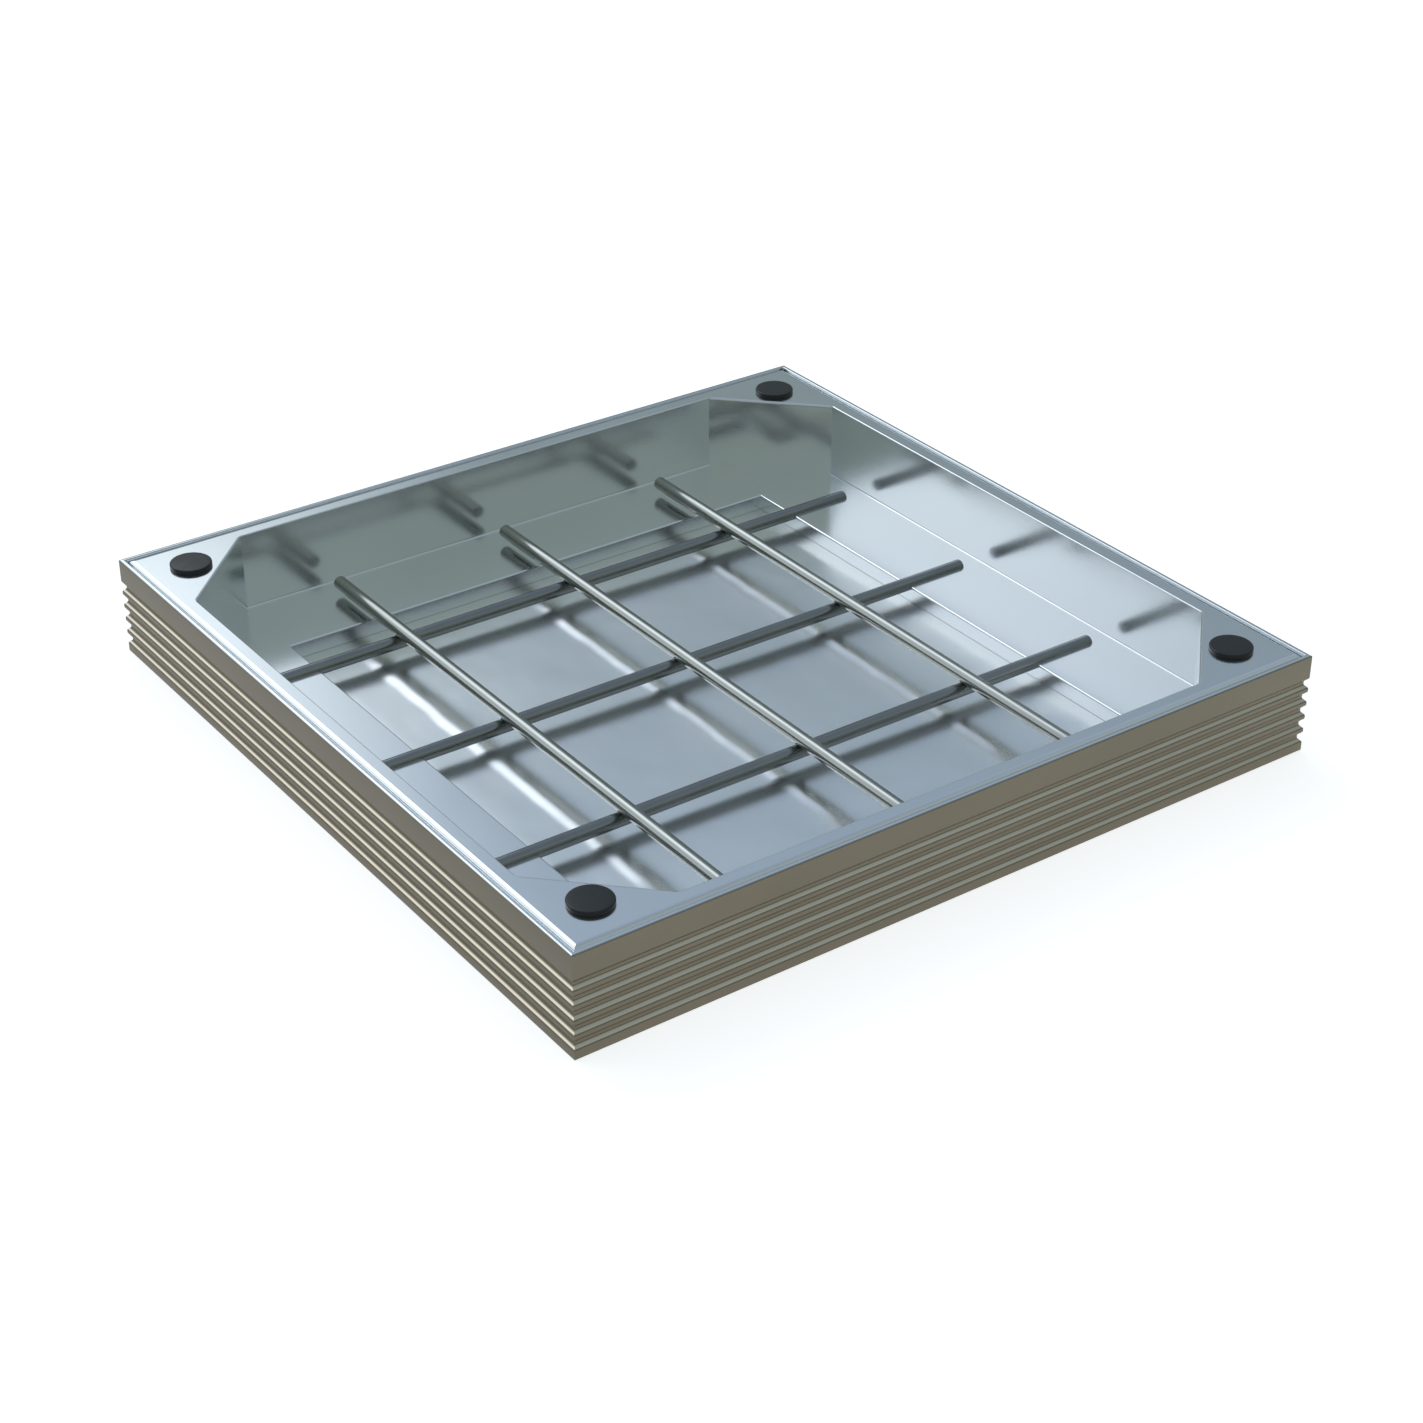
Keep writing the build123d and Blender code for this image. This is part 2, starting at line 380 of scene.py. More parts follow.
def drawn_steel(name, base, along):
    """Bright drawn bar with fine lines along it."""
    material = new_material(name)
    tree = material.node_tree
    shader = principled(material, base, metallic=1.0, roughness=0.16)
    clouded(tree, shader, base, scale=30.0, spread=0.12, roughness=(0.12, 0.24))
    relief = bump(tree, fine_lines(tree, along, fine=1200.0, slow=12.0), *DRAWN_RELIEF)
    tree.links.new(relief.outputs["Normal"], shader.inputs["Normal"])
    return material


def turned_steel(name, base):
    """Plain turned steel."""
    material = new_material(name)
    tree = material.node_tree
    shader = principled(material, base, metallic=1.0, roughness=0.30)
    relief = bump(tree, stretched_noise(tree, (60.0, 60.0, 1500.0), 2.0), *TURNED_RELIEF)
    tree.links.new(relief.outputs["Normal"], shader.inputs["Normal"])
    return material


def black_moulding(name, base, roughness, grain):
    """Black plastic or rubber with a fine moulded grain."""
    material = new_material(name)
    tree = material.node_tree
    shader = principled(material, base, metallic=0.0, roughness=roughness)
    clouded(tree, shader, base, scale=60.0, spread=0.15, roughness=(roughness - 0.05, roughness + 0.05))
    relief = bump(tree, stretched_noise(tree, (grain, grain, grain), 2.0), *MOULDED_RELIEF)
    tree.links.new(relief.outputs["Normal"], shader.inputs["Normal"])
    return material


def once(name, maker, *sizes):
    """A material made the first time that it is asked for."""
    return bpy.data.materials.get(name) or maker(name, *sizes)


# Mesh helpers

def rounded_loop(corners, steps=6):
    """Points of a closed outline from its corners (x, y, radius)."""
    points = []
    for number, (x, y, radius) in enumerate(corners):
        here = Vector((x, y))
        if radius <= 0:
            points.append(here)
            continue
        before = Vector(corners[number - 1][:2])
        after = Vector(corners[(number + 1) % len(corners)][:2])
        into = (before - here).normalized()
        out = (after - here).normalized()
        half = into.angle(out) / 2
        reach = radius / abs(sin(half)) if half else 0
        centre = here + (into + out).normalized() * reach
        first = here + into * (reach * cos(half)) - centre
        last = here + out * (reach * cos(half)) - centre
        sweep = first.angle_signed(last)
        for step in range(steps + 1):
            turn = -sweep * step / steps
            x_part = first.x * cos(turn) - first.y * sin(turn)
            y_part = first.x * sin(turn) + first.y * cos(turn)
            points.append(centre + Vector((x_part, y_part)))
    return points


def section_object(name, loops):
    """A flat mesh object of edges, with one closed ring for each loop of points."""
    verts = []
    edges = []
    for loop in loops:
        first = len(verts)
        count = len(loop)
        verts += [(place.x, place.y, 0.0) for place in loop]
        edges += [(first + number, first + (number + 1) % count) for number in range(count)]
    mesh = bpy.data.meshes.new(name)
    mesh.from_pydata(verts, edges, [])
    section = bpy.data.objects.new(name, mesh)
    bpy.context.scene.collection.objects.link(section)
    return section


def lathe(name, profile, steps):
    """A closed turned mesh about Z from (radius, height) points that start and end on the axis."""
    verts = []
    faces = []
    for radius, height in profile[1:-1]:
        for step in range(steps):
            turn = 2 * pi * step / steps
            verts.append((radius * cos(turn), radius * sin(turn), height))
    rings = len(profile) - 2
    for ring in range(rings - 1):
        for step in range(steps):
            near = (step + 1) % steps
            low, high = ring * steps, (ring + 1) * steps
            faces.append((low + step, low + near, high + near, high + step))
    for ring, end in ((0, profile[0]), (rings - 1, profile[-1])):
        pole = len(verts)
        verts.append((0.0, 0.0, end[1]))
        for step in range(steps):
            near = (step + 1) % steps
            edge = (ring * steps + step, ring * steps + near)
            faces.append((edge[1], edge[0], pole) if ring == 0 else (edge[0], edge[1], pole))
    mesh = bpy.data.meshes.new(name)
    mesh.from_pydata(verts, [], faces)
    mesh.validate()
    turned = bpy.data.objects.new(name, mesh)
    bpy.context.scene.collection.objects.link(turned)
    return turned


def run_tree(source, tree, **inputs):
    """Runs a node tree on an object and leaves the result as a plain mesh object of the same name."""
    modifier = source.modifiers.new(tree.name, "NODES")
    modifier.node_group = tree
    for item in tree.interface.items_tree:
        if item.item_type == "SOCKET" and item.in_out == "INPUT" and item.name in inputs:
            modifier[item.identifier] = inputs[item.name]
    graph = bpy.context.evaluated_depsgraph_get()
    mesh = bpy.data.meshes.new_from_object(source.evaluated_get(graph))
    name = source.name
    bpy.data.objects.remove(source)
    mesh.name = name
    mesh.shade_smooth()
    mesh.set_sharp_from_angle(angle=SHARP_ANGLE)
    made = bpy.data.objects.new(name, mesh)
    bpy.context.scene.collection.objects.link(made)
    return made


def new_tree(name, sockets):
    """A geometry node tree with its inputs and its one output."""
    tree = bpy.data.node_groups.new(name, "GeometryNodeTree")
    tree.interface.new_socket("Geometry", in_out="INPUT", socket_type="NodeSocketGeometry")
    for label, kind, default in sockets:
        socket = tree.interface.new_socket(label, in_out="INPUT", socket_type=kind)
        if default is not None:
            socket.default_value = default
    tree.interface.new_socket("Geometry", in_out="OUTPUT", socket_type="NodeSocketGeometry")
    return tree, tree.nodes.new("NodeGroupInput"), tree.nodes.new("NodeGroupOutput")


def mitred_rail_tree():
    """Fills a section, runs it along the side and cuts both ends at 45 degrees.

    The slab of depth 1 is stretched over the side, from one mitre to the other.
    """
    sockets = (("Quarter turn", "NodeSocketFloat", 0.0), ("Material", "NodeSocketMaterial", None))
    tree, given, result = new_tree("Mitred rail", sockets)
    link = tree.links.new
    rings = tree.nodes.new("GeometryNodeMeshToCurve")
    fill = tree.nodes.new("GeometryNodeFillCurve")
    fill.mode = "NGONS"
    place = tree.nodes.new("GeometryNodeInputPosition")
    split = tree.nodes.new("ShaderNodeSeparateXYZ")
    combine = tree.nodes.new("ShaderNodeCombineXYZ")
    move = tree.nodes.new("GeometryNodeSetPosition")
    turn = tree.nodes.new("ShaderNodeVectorRotate")
    turn.rotation_type = "Z_AXIS"
    outward = tree.nodes.new("GeometryNodeFlipFaces")
    paint = tree.nodes.new("GeometryNodeSetMaterial")
    link(given.outputs["Geometry"], rings.inputs["Mesh"])
    link(rings.outputs["Curve"], fill.inputs["Curve"])
    slab = closed_slab(tree, fill.outputs["Mesh"])
    link(place.outputs["Position"], split.inputs["Vector"])
    along = figure(tree, "SUBTRACT", figure(tree, "MULTIPLY", split.outputs["Z"], 2.0), 1.0)
    link(figure(tree, "MULTIPLY", along, split.outputs["X"]), combine.inputs["X"])
    link(figure(tree, "MULTIPLY", split.outputs["X"], -1.0), combine.inputs["Y"])
    link(split.outputs["Y"], combine.inputs["Z"])
    link(combine.outputs["Vector"], turn.inputs["Vector"])
    angle = figure(tree, "MULTIPLY", given.outputs["Quarter turn"], pi / 2)
    link(angle, turn.inputs["Angle"])
    link(slab, move.inputs["Geometry"])
    link(turn.outputs["Vector"], move.inputs["Position"])
    link(move.outputs["Geometry"], outward.inputs["Mesh"])
    link(outward.outputs["Mesh"], paint.inputs["Geometry"])
    link(given.outputs["Material"], paint.inputs["Material"])
    link(paint.outputs["Geometry"], result.inputs["Geometry"])
    return tree


# Points along X and Y in the tray's floor sheet, and how finely its waves vary along X, Y and Z
SHEET_POINTS = (271, 61)
SHEET_NOISE = (8.0, 45.0, 0.0)

# Share of the bars' pitch in which the sheet rises, shares of the pull that it reaches, and how far
# a wave wanders to each side
WAVE_RISE = 0.07
WAVE_HEIGHTS = (0.75, 1.1)
WAVE_DRIFT = 2.0 * MM

# Shares of the half size, along X and along Y, at which the waves begin to fade and are gone
FLAT_ACROSS = (0.93, 1.0)
FLAT_DEEP = (0.79, 0.91)


def pulled_sheet_tree():
    """A sheet of even thickness, with flat edges, that rises steeply and falls slowly in waves."""
    sockets = (
        ("Size", "NodeSocketFloat", 0.5),
        ("Low", "NodeSocketFloat", 0.0),
        ("Thickness", "NodeSocketFloat", 0.0015),
        ("First", "NodeSocketFloat", 0.0),
        ("Pitch", "NodeSocketFloat", 0.1),
        ("Pull", "NodeSocketFloat", 0.001),
        ("Material", "NodeSocketMaterial", None),
    )
    tree, given, result = new_tree("Pulled sheet", sockets)
    link = tree.links.new
    grid = tree.nodes.new("GeometryNodeMeshGrid")
    grid.inputs["Vertices X"].default_value = SHEET_POINTS[0]
    grid.inputs["Vertices Y"].default_value = SHEET_POINTS[1]
    link(given.outputs["Size"], grid.inputs["Size X"])
    link(given.outputs["Size"], grid.inputs["Size Y"])
    place = tree.nodes.new("GeometryNodeInputPosition")
    split = tree.nodes.new("ShaderNodeSeparateXYZ")
    link(place.outputs["Position"], split.inputs["Vector"])
    half = figure(tree, "DIVIDE", given.outputs["Size"], 2.0)
    spread = tree.nodes.new("ShaderNodeVectorMath")
    spread.operation = "MULTIPLY"
    spread.inputs[1].default_value = SHEET_NOISE
    noise = tree.nodes.new("ShaderNodeTexNoise")
    noise.inputs["Scale"].default_value = 1.0
    link(place.outputs["Position"], spread.inputs[0])
    link(spread.outputs["Vector"], noise.inputs["Vector"])
    drift = ranged(tree, noise.outputs["Fac"], *CLOUD_RANGE, -WAVE_DRIFT, WAVE_DRIFT)
    uneven = ranged(tree, noise.outputs["Fac"], *CLOUD_RANGE, *WAVE_HEIGHTS)
    share = figure(tree, "SUBTRACT", figure(tree, "ADD", split.outputs["X"], drift), given.outputs["First"])
    share = figure(tree, "FRACT", figure(tree, "DIVIDE", share, given.outputs["Pitch"]))
    across = figure(tree, "DIVIDE", figure(tree, "ABSOLUTE", split.outputs["X"]), half)
    deep = figure(tree, "DIVIDE", figure(tree, "ABSOLUTE", split.outputs["Y"]), half)
    height = figure(tree, "MULTIPLY", given.outputs["Pull"], uneven)
    parts = (
        (share, 0.0, WAVE_RISE, 0.0, 1.0),
        (share, WAVE_RISE, 1.0, 1.0, 0.0),
        (across, *FLAT_ACROSS, 1.0, 0.0),
        (deep, *FLAT_DEEP, 1.0, 0.0),
    )
    for part in parts:
        height = figure(tree, "MULTIPLY", ranged(tree, *part, "SMOOTHSTEP"), height)
    combine = tree.nodes.new("ShaderNodeCombineXYZ")
    link(split.outputs["X"], combine.inputs["X"])
    link(split.outputs["Y"], combine.inputs["Y"])
    link(figure(tree, "ADD", height, given.outputs["Low"]), combine.inputs["Z"])
    move = tree.nodes.new("GeometryNodeSetPosition")
    link(grid.outputs["Mesh"], move.inputs["Geometry"])
    link(combine.outputs["Vector"], move.inputs["Position"])
    lift = tree.nodes.new("ShaderNodeCombineXYZ")
    link(given.outputs["Thickness"], lift.inputs["Z"])
    paint = tree.nodes.new("GeometryNodeSetMaterial")
    link(closed_slab(tree, move.outputs["Geometry"], lift.outputs["Vector"]), paint.inputs["Geometry"])
    link(given.outputs["Material"], paint.inputs["Material"])
    link(paint.outputs["Geometry"], result.inputs["Geometry"])
    return tree


def closed_slab(tree, faces, offset=None):
    """Extrudes faces, along their normals by 1 or by an offset, and closes the open side."""
    link = tree.links.new
    raised = tree.nodes.new("GeometryNodeExtrudeMesh")
    raised.mode = "FACES"
    raised.inputs["Individual"].default_value = False
    raised.inputs["Offset Scale"].default_value = 1.0
    if offset is not None:
        link(offset, raised.inputs["Offset"])
    flip = tree.nodes.new("GeometryNodeFlipFaces")
    join = tree.nodes.new("GeometryNodeJoinGeometry")
    merge = tree.nodes.new("GeometryNodeMergeByDistance")
    merge.inputs["Distance"].default_value = 1e-6
    link(faces, raised.inputs["Mesh"])
    link(faces, flip.inputs["Mesh"])
    link(raised.outputs["Mesh"], join.inputs["Geometry"])
    link(flip.outputs["Mesh"], join.inputs["Geometry"])
    link(join.outputs["Geometry"], merge.inputs["Geometry"])
    return merge.outputs["Geometry"]


def row_tree():
    """Copies of one piece in a row."""
    sockets = (
        ("Count", "NodeSocketInt", 3),
        ("First", "NodeSocketVector", (0.0, 0.0, 0.0)),
        ("Step", "NodeSocketVector", (0.1, 0.0, 0.0)),
        ("Material", "NodeSocketMaterial", None),
    )
    tree, given, result = new_tree("Row", sockets)
    link = tree.links.new
    line = tree.nodes.new("GeometryNodeMeshLine")
    line.mode = "OFFSET"
    link(given.outputs["Count"], line.inputs["Count"])
    link(given.outputs["First"], line.inputs["Start Location"])
    link(given.outputs["Step"], line.inputs["Offset"])
    copies = tree.nodes.new("GeometryNodeInstanceOnPoints")
    link(line.outputs["Mesh"], copies.inputs["Points"])
    link(given.outputs["Geometry"], copies.inputs["Instance"])
    finish_tree(tree, copies.outputs["Instances"], given, result)
    return tree


def corners_tree():
    """One copy of a piece at each corner of a square about the middle."""
    sockets = (("Reach", "NodeSocketFloat", 0.3), ("Material", "NodeSocketMaterial", None))
    tree, given, result = new_tree("Corners", sockets)
    link = tree.links.new
    grid = tree.nodes.new("GeometryNodeMeshGrid")
    grid.inputs["Vertices X"].default_value = 2
    grid.inputs["Vertices Y"].default_value = 2
    side = figure(tree, "MULTIPLY", given.outputs["Reach"], 2.0)
    link(side, grid.inputs["Size X"])
    link(side, grid.inputs["Size Y"])
    copies = tree.nodes.new("GeometryNodeInstanceOnPoints")
    link(grid.outputs["Mesh"], copies.inputs["Points"])
    link(given.outputs["Geometry"], copies.inputs["Instance"])
    finish_tree(tree, copies.outputs["Instances"], given, result)
    return tree


def finish_tree(tree, instances, given, result):
    """Makes instances real and gives them their material."""
    real = tree.nodes.new("GeometryNodeRealizeInstances")
    paint = tree.nodes.new("GeometryNodeSetMaterial")
    tree.links.new(instances, real.inputs["Geometry"])
    tree.links.new(real.outputs["Geometry"], paint.inputs["Geometry"])
    tree.links.new(given.outputs["Material"], paint.inputs["Material"])
    tree.links.new(paint.outputs["Geometry"], result.inputs["Geometry"])


def settle(piece, slot, *nodes):
    """Puts a finished piece on the cover's body in place of its CAD nodes."""
    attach(piece, BODY)
    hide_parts(*nodes)


def paint_node(name, material):
    """Gives a CAD node that stays its material."""
    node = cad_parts[name]
    node.data.materials.clear()
    node.data.materials.append(material)


# Operators

# How much of the painted highlight the flanks keep deep in the grooves, on the front and back rails and on
# the side rails; the rest is painted shade
DEEP_HIGHLIGHT = (0.85, 0.15)


class COVER_OT_frame_rails(bpy.types.Operator):
    """Make the four ribbed frame rails"""

    bl_idname = "cover.frame_rails"
    bl_label = "Frame Rails"

    def section(self, sizes):
        """Outer loop and hollow of the rail, as distance from the middle and height."""
        inside = half_size - sizes.rib_depth - sizes.web
        lip_inside = half_size - sizes.lip
        lip_bottom = top_height - sizes.lip_height
        corners = [(half_size, 0.0, sizes.edge)]
        bands = sizes.top_band + sizes.bottom_band + (sizes.groove_count - 1) * sizes.rib_tip
        mouth = (top_height - bands) / sizes.groove_count
        bottom = half_size - sizes.rib_depth
        for number in reversed(range(sizes.groove_count)):
            top = top_height - sizes.top_band - number * (mouth + sizes.rib_tip)
            middle = top - mouth / 2
            corners.append((half_size, top - mouth, sizes.rib_round))
            corners.append((bottom, middle - sizes.groove_floor / 2, sizes.groove_round))
            corners.append((bottom, middle + sizes.groove_floor / 2, sizes.groove_round))
            corners.append((half_size, top, sizes.rib_round))
        corners += [
            (half_size, top_height, sizes.crest),
            (lip_inside, top_height, sizes.lip_round),
            (lip_inside, lip_bottom, 0.0),
            (inside, lip_bottom - (lip_inside - inside), 0.0),
            (inside, foot_top, sizes.root),
            (foot_edge, foot_top, sizes.edge),
            (foot_edge, 0.0, 0.0),
        ]
        wall = sizes.foot_wall
        hollow = [
            (foot_edge + wall, wall, 0.0),
            (inside, wall, 0.0),
            (inside, foot_top - wall, 0.0),
            (foot_edge + wall, foot_top - wall, 0.0),
        ]
        return rounded_loop(corners), rounded_loop(hollow)

    def execute(self, context):
        sizes = context.scene.cover_frame
        finish = context.scene.cover_finishes
        tree = mitred_rail_tree()
        for turn, side in enumerate(SIDES):
            along = turn % 2
            name = "Frame aluminium " + "xy"[along]
            # The front and back rails are painted lighter than the left and right ones as painted light, on
            # faces of the same metal
            face = finish.side if along else finish.front
            deep = DEEP_HIGHLIGHT[along]
            colours = (face, finish.lip, finish.crest, finish.flank_highlight)
            material = once(name, frame_aluminium, *colours, along, deep)
            section = section_object("ribbed_rail_" + side, self.section(sizes))
            rail = run_tree(section, tree, **{"Quarter turn": float(turn), "Material": material})
            settle(rail, "frame_aluminium", "frame_rail_" + side)
        return {"FINISHED"}


# Roughness of the tray's rails and corner boxes and of its floor sheet, and depth of the sheet's waves
TRAY_DULL = 0.17
SHEET_DULL = 0.24
SHEET_WAVES = 0.3 * MM


class COVER_OT_tray(bpy.types.Operator):
    """Finish the tray's rails, floor and corner boxes"""

    bl_idname = "cover.tray"
    bl_label = "Tray"

    def floor(self, sizes, base):
        """The floor sheet, with the pull that welding leaves in it beside each upper bar."""
        bars = [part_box("upper_bar_%d" % number)[0].x for number in (1, 2)]
        inputs = {
            "Size": floor_high.x - floor_low.x,
            "Low": floor_low.z,
            "Thickness": floor_high.z - floor_low.z,
            "First": bars[0] - sizes.lead,
            "Pitch": bars[1] - bars[0],
            "Pull": sizes.pull,
            "Material": once("Tray sheet aluminium", bright_aluminium, base, 0, SHEET_DULL, SHEET_WAVES),
        }
        sheet = run_tree(section_object("tray_floor_sheet", []), pulled_sheet_tree(), **inputs)
        settle(sheet, "tray_aluminium", "tray_floor")

    def execute(self, context):
        base = context.scene.cover_finishes.tray
        for turn, side in enumerate(SIDES):
            along = turn % 2
            rolled = once("Tray rail aluminium " + "xy"[along], bright_aluminium, base, along, TRAY_DULL)
            paint_node("tray_rail_" + side, rolled)
        self.floor(context.scene.cover_tray, context.scene.cover_finishes.sheet)
        folded = once("Corner sheet aluminium", bright_aluminium, base, 2, TRAY_DULL)
        for corner in CORNERS:
            paint_node("corner_box_" + corner, folded)
        return {"FINISHED"}


# Length of the steep step where a lower bar's flat end begins, and steps in the rounding of an end
BAR_STEP = 0.02 * MM
BAR_ROUND_STEPS = 6


class COVER_OT_bars(bpy.types.Operator):
    """Make the crossed reinforcing bars"""

    bl_idname = "cover.bars"
    bl_label = "Reinforcing Bars"

    def rod(self, name, node, axis, sizes):
        """One bar, centred on the middle of its row, along X or Y."""
        low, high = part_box(node)
        radius = (high[1 - axis] - low[1 - axis]) / 2
        half = (high[axis] - low[axis]) / 2
        end = []
        for step in range(BAR_ROUND_STEPS + 1):
            turn = pi / 2 * step / BAR_ROUND_STEPS
            back = half - sizes.end_round * (1 - cos(turn))
            end.append((radius - sizes.end_round * (1 - sin(turn)), back))
        end += [(radius, ledge_edge + BAR_STEP), (radius, ledge_edge)]
        profile = [(0, -half)] + [(across, -place) for across, place in end]
        profile += [(across, place) for across, place in reversed(end)] + [(0, half)]
        rod = lathe(name, profile, sizes.steps)
        lay = Matrix.Rotation(pi / 2, 4, "Y") if axis == 0 else Matrix.Rotation(-pi / 2, 4, "X")
        rod.data.transform(lay)
        # The ends lie on the ledges with a flat underside, so their middle points move up with it
        drop = ledge_top - (high.z - radius)
        for vertex in rod.data.vertices:
            if abs(vertex.co[axis]) > ledge_edge + BAR_STEP / 2:
                middle = abs(vertex.co.z) + abs(vertex.co[1 - axis]) < BAR_STEP / 20
                vertex.co.z = max(vertex.co.z, drop + radius / 3 if middle else drop)
        return rod, radius

    def execute(self, context):
        sizes = context.scene.cover_bars
        finish = context.scene.cover_finishes
        tree = row_tree()
        for level, axis in (("lower", 0), ("upper", 1)):
            nodes = ["%s_bar_%d" % (level, number) for number in (1, 2, 3)]
            rod, radius = self.rod(level + "_bars", nodes[0], axis, sizes)
            centres = []
            for node in nodes:
                low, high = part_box(node)
                centres.append(Vector(((low.x + high.x) / 2, (low.y + high.y) / 2, high.z - radius)))
            # The lower bars are the same drawn steel as the upper ones, painted darker as shade
            base = finish.bar if axis else finish.lower
            material = once("Drawn steel " + "xy"[axis], drawn_steel, base, axis)
            step = centres[1] - centres[0]
            bars = run_tree(rod, tree, Count=3, First=centres[0], Step=step, Material=material)
            settle(bars, "bar_steel", *nodes)
        return {"FINISHED"}


# Radius of a cap's stem and of the rings on its dome as shares, and steps in its two rounded edges
STEM_SHARE = 0.55
DOME_RINGS = (0.75, 0.5, 0.25)
FOOT_STEPS = 4
EDGE_STEPS = 8


class COVER_OT_caps(bpy.types.Operator):
    """Make the black caps in the corners"""

    bl_idname = "cover.caps"
    bl_label = "Corner Caps"

    def execute(self, context):
        sizes = context.scene.cover_caps
        finish = context.scene.cover_finishes
        radius = (cap_high.x - cap_low.x) / 2
        rim = cap_high.z - sizes.dome
        stem = radius * STEM_SHARE
        profile = [(0.0, cap_low.z), (stem, cap_low.z), (stem, top_height)]
        for step in range(FOOT_STEPS + 1):
            turn = pi / 2 * step / FOOT_STEPS
            across = radius - sizes.foot + sizes.foot * sin(turn)
            profile.append((across, top_height + sizes.foot * (1 - cos(turn))))
        for step in range(EDGE_STEPS + 1):
            turn = pi / 2 * step / EDGE_STEPS
            across = radius - sizes.edge + sizes.edge * cos(turn)
            profile.append((across, rim - sizes.edge + sizes.edge * sin(turn)))
        for share in DOME_RINGS:
            lift = sizes.dome * (1 - share * share)
            profile.append(((radius - sizes.edge) * share, rim + lift))
        profile.append((0.0, cap_high.z))
        material = once("Black cap plastic", black_moulding, finish.cap, *CAP_SURFACE)
        cap = lathe("corner_caps", profile, sizes.steps)
        reach = (cap_low.x + cap_high.x) / 2
        caps = run_tree(cap, corners_tree(), Reach=-reach, Material=material)
        settle(caps, "cap_plastic", *["corner_cap_" + corner for corner in CORNERS])
        return {"FINISHED"}


class COVER_OT_hidden(bpy.types.Operator):
    """Finish the rubber seal and the lifting sockets"""

    bl_idname = "cover.hidden"
    bl_label = "Seal and Sockets"

    def execute(self, context):
        finish = context.scene.cover_finishes
        rubber = once("Seal rubber", black_moulding, finish.seal, *SEAL_SURFACE)
        steel = once("Turned steel", turned_steel, finish.socket)
        for side in SIDES:
            paint_node("seat_gasket_" + side, rubber)
        for corner in CORNERS:
            paint_node("lifting_socket_" + corner, steel)
        return {"FINISHED"}


FLOOR_COLOUR = (0.80, 0.80, 0.80, 1.0)
FLOOR_GLOW = 0.74

# Colour of the room at each height, in degrees
ROOM_TINTS = (
    (0, (0.60, 0.60, 0.60)),
    (4, (0.26, 0.29, 0.29)),
    (10, (0.23, 0.27, 0.27)),
    (25, (0.24, 0.30, 0.30)),
    (30, (0.27, 0.34, 0.41)),
    (35, (0.35, 0.44, 0.55)),
    (45, (0.33, 0.40, 0.50)),
    (60, (0.28, 0.35, 0.45)),
    (90, (0.34, 0.38, 0.45)),
)

# Azimuths in degrees between which the room turns warmer, on the side of the camera
BEHIND = (70.0, 110.0)
WARMER_TINT = (1.0, 0.97, 0.82)

# The window, its wing to the side, a low wing and the window's core: the azimuths and the heights in
# degrees where each begins, is full, fades and ends, and its glow
PATCHES = (
    ((-28, -16, 21, 31), (22, 28, 50, 64), 1.06),
    ((-54, -43, -28, -16), (22, 28, 50, 64), 0.57),
    ((-60, -48, -28, -16), (9, 14, 22, 28), 0.90),
    ((-14, -4, 8, 18), (36, 41, 48, 56), 1.00),
)
PATCH_TINT = (0.95, 1.00, 1.03)


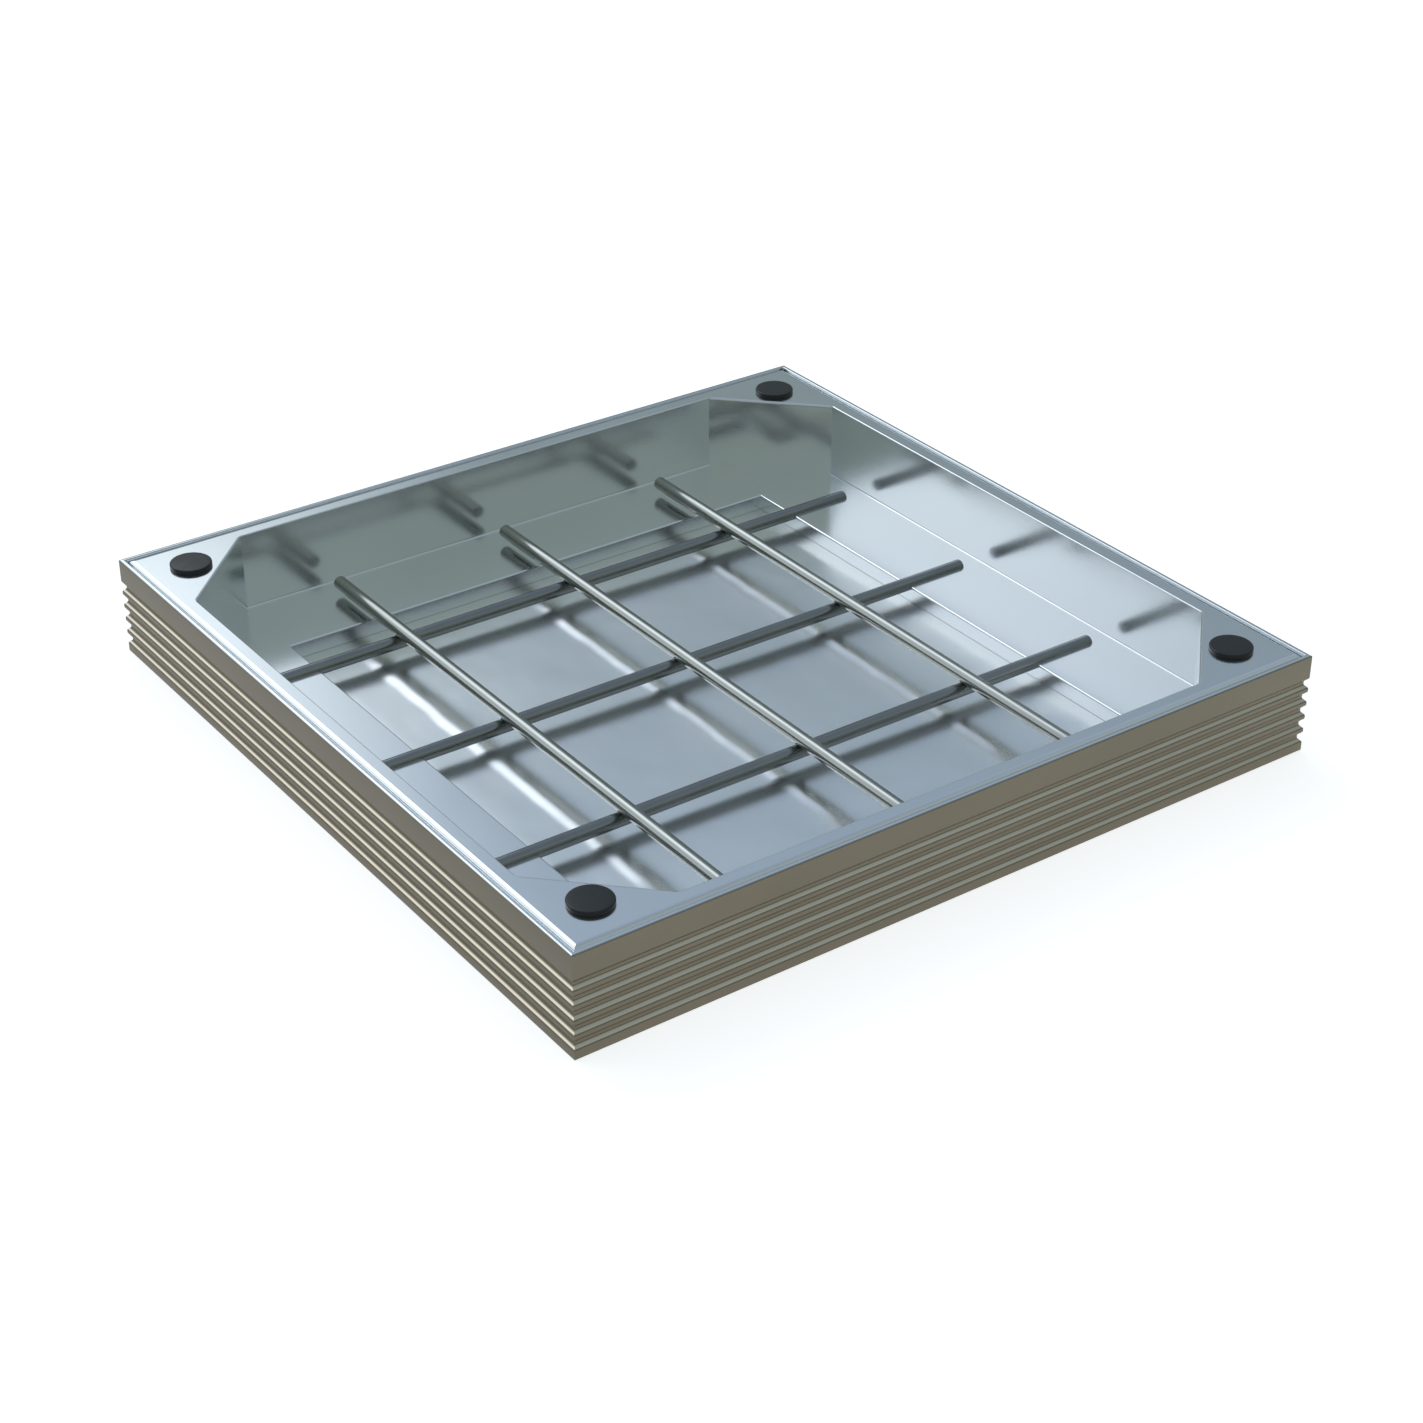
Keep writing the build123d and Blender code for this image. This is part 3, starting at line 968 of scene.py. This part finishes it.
class COVER_OT_stage(bpy.types.Operator):
    """Set up the floor, the light and the camera"""

    bl_idname = "cover.stage"
    bl_label = "Stage"

    def floor(self, size):
        """A pale floor that the camera and the metal see as white, and that keeps the shadow."""
        mesh = bpy.data.meshes.new("studio_floor")
        half = size / 2
        corners = [(-half, -half, 0), (half, -half, 0), (half, half, 0), (-half, half, 0)]
        mesh.from_pydata(corners, [], [(0, 1, 2, 3)])
        floor = bpy.data.objects.new("studio_floor", mesh)
        bpy.context.scene.collection.objects.link(floor)
        material = new_material("Studio floor")
        tree = material.node_tree
        link = tree.links.new
        surface = tree.nodes.new("ShaderNodeBsdfDiffuse")
        surface.inputs["Color"].default_value = FLOOR_COLOUR
        glow = tree.nodes.new("ShaderNodeEmission")
        path = tree.nodes.new("ShaderNodeLightPath")
        seen = figure(tree, "MAXIMUM", path.outputs["Is Camera Ray"], path.outputs["Is Glossy Ray"])
        seen = figure(tree, "MAXIMUM", seen, path.outputs["Is Transmission Ray"])
        link(figure(tree, "MULTIPLY", seen, FLOOR_GLOW), glow.inputs["Strength"])
        both = tree.nodes.new("ShaderNodeAddShader")
        output = tree.nodes.new("ShaderNodeOutputMaterial")
        link(surface.outputs["BSDF"], both.inputs[0])
        link(glow.outputs["Emission"], both.inputs[1])
        link(both.outputs["Shader"], output.inputs["Surface"])
        mesh.materials.append(material)

    def patch(self, tree, turn, tilt, sides, levels, glow):
        """A soft-edged bright patch of the room between two azimuths and two heights, in degrees."""
        parts = [glow]
        for source, (start, full, fall, end) in ((turn, sides), (tilt, levels)):
            rise = ranged(tree, source, start, full, 0.0, 1.0, "SMOOTHSTEP")
            drop = ranged(tree, source, fall, end, 1.0, 0.0, "SMOOTHSTEP")
            parts += [rise, drop]
        total = parts[0]
        for part in parts[1:]:
            total = figure(tree, "MULTIPLY", part, total)
        return total

    def world(self):
        """A studio room: dim grey-blue walls, warmer behind the camera, and a large soft window."""
        world = bpy.data.worlds.new("Studio room")
        bpy.context.scene.world = world
        world.use_nodes = True
        tree = world.node_tree
        tree.nodes.clear()
        link = tree.links.new
        coordinates = tree.nodes.new("ShaderNodeTexCoord")
        split = tree.nodes.new("ShaderNodeSeparateXYZ")
        link(coordinates.outputs["Generated"], split.inputs["Vector"])
        turn = figure(tree, "ARCTAN2", split.outputs["X"], split.outputs["Y"])
        turn = figure(tree, "DEGREES", turn)
        tilt = figure(tree, "DEGREES", figure(tree, "ARCSINE", split.outputs["Z"]))
        ramp = tree.nodes.new("ShaderNodeValToRGB")
        elements = ramp.color_ramp.elements
        while len(elements) < len(ROOM_TINTS):
            elements.new(0.5)
        for element, (degrees, tint) in zip(elements, ROOM_TINTS):
            element.position = degrees / 90
            element.color = (*tint, 1.0)
        link(figure(tree, "DIVIDE", tilt, 90.0), ramp.inputs["Fac"])
        window, side, low, core = [self.patch(tree, turn, tilt, *sizes) for sizes in PATCHES]
        bright = tree.nodes.new("ShaderNodeVectorMath")
        bright.operation = "SCALE"
        bright.inputs[0].default_value = PATCH_TINT
        glow = figure(tree, "ADD", figure(tree, "ADD", window, core), figure(tree, "ADD", side, low))
        link(glow, bright.inputs["Scale"])
        behind = ranged(tree, figure(tree, "ABSOLUTE", turn), *BEHIND, 0.0, 1.0, "SMOOTHSTEP")
        warmer = blend(tree, behind, (1.0, 1.0, 1.0), WARMER_TINT)
        room = tree.nodes.new("ShaderNodeVectorMath")
        room.operation = "MULTIPLY"
        link(ramp.outputs["Color"], room.inputs[0])
        link(warmer.outputs["Result"], room.inputs[1])
        both = tree.nodes.new("ShaderNodeVectorMath")
        link(room.outputs["Vector"], both.inputs[0])
        link(bright.outputs["Vector"], both.inputs[1])
        seen = tree.nodes.new("ShaderNodeLightPath")
        white = blend(tree, seen.outputs["Is Camera Ray"], (0.0, 0.0, 0.0), (1.0, 1.0, 1.0))
        link(both.outputs["Vector"], white.inputs["A"])
        background = tree.nodes.new("ShaderNodeBackground")
        output = tree.nodes.new("ShaderNodeOutputWorld")
        link(white.outputs["Result"], background.inputs["Color"])
        link(background.outputs["Background"], output.inputs["Surface"])

    def execute(self, context):
        stage = context.scene.cover_stage
        self.floor(stage.floor_size)
        self.world()
        data = bpy.data.cameras.new("Photo camera")
        data.sensor_width = 36
        data.lens = stage.lens
        camera = bpy.data.objects.new("Photo camera", data)
        camera.location = stage.camera_place
        look = Vector(stage.camera_aim) - Vector(stage.camera_place)
        camera.rotation_euler = look.to_track_quat("-Z", "Y").to_euler()
        context.scene.collection.objects.link(camera)
        context.scene.camera = camera
        context.scene.view_settings.view_transform = "Standard"
        return {"FINISHED"}


class COVER_PT_build(bpy.types.Panel):
    """Buttons that make the cover's pieces"""

    bl_label = "Access Cover"
    bl_idname = "COVER_PT_build"
    bl_space_type = "VIEW_3D"
    bl_region_type = "UI"
    bl_category = "Access Cover"

    def draw(self, context):
        layout = self.layout
        for operator in OPERATORS:
            layout.operator(operator.bl_idname)
        for setting in GROUPS:
            group = getattr(context.scene, setting)
            box = layout.box()
            for name in group.__annotations__:
                box.prop(group, name)


GROUPS = {
    "cover_frame": CoverFrameSizes,
    "cover_tray": CoverTraySizes,
    "cover_bars": CoverBarSizes,
    "cover_caps": CoverCapSizes,
    "cover_finishes": CoverFinishes,
    "cover_stage": CoverStage,
}
OPERATORS = (
    COVER_OT_frame_rails,
    COVER_OT_tray,
    COVER_OT_bars,
    COVER_OT_caps,
    COVER_OT_hidden,
    COVER_OT_stage,
)


def register():
    """Registers the classes and the scene's settings."""
    for name, group in GROUPS.items():
        bpy.utils.register_class(group)
        setattr(bpy.types.Scene, name, bpy.props.PointerProperty(type=group))
    for kind in (*OPERATORS, COVER_PT_build):
        bpy.utils.register_class(kind)


def unregister():
    """Takes the classes and settings away again."""
    for kind in (COVER_PT_build, *reversed(OPERATORS)):
        bpy.utils.unregister_class(kind)
    for name, group in GROUPS.items():
        delattr(bpy.types.Scene, name)
        bpy.utils.unregister_class(group)


def main():
    """Makes every piece and sets up the stage."""
    register()
    bpy.ops.cover.frame_rails()
    bpy.ops.cover.tray()
    bpy.ops.cover.bars()
    bpy.ops.cover.caps()
    bpy.ops.cover.hidden()
    bpy.ops.cover.stage()


if __name__ == "__main__":
    main()
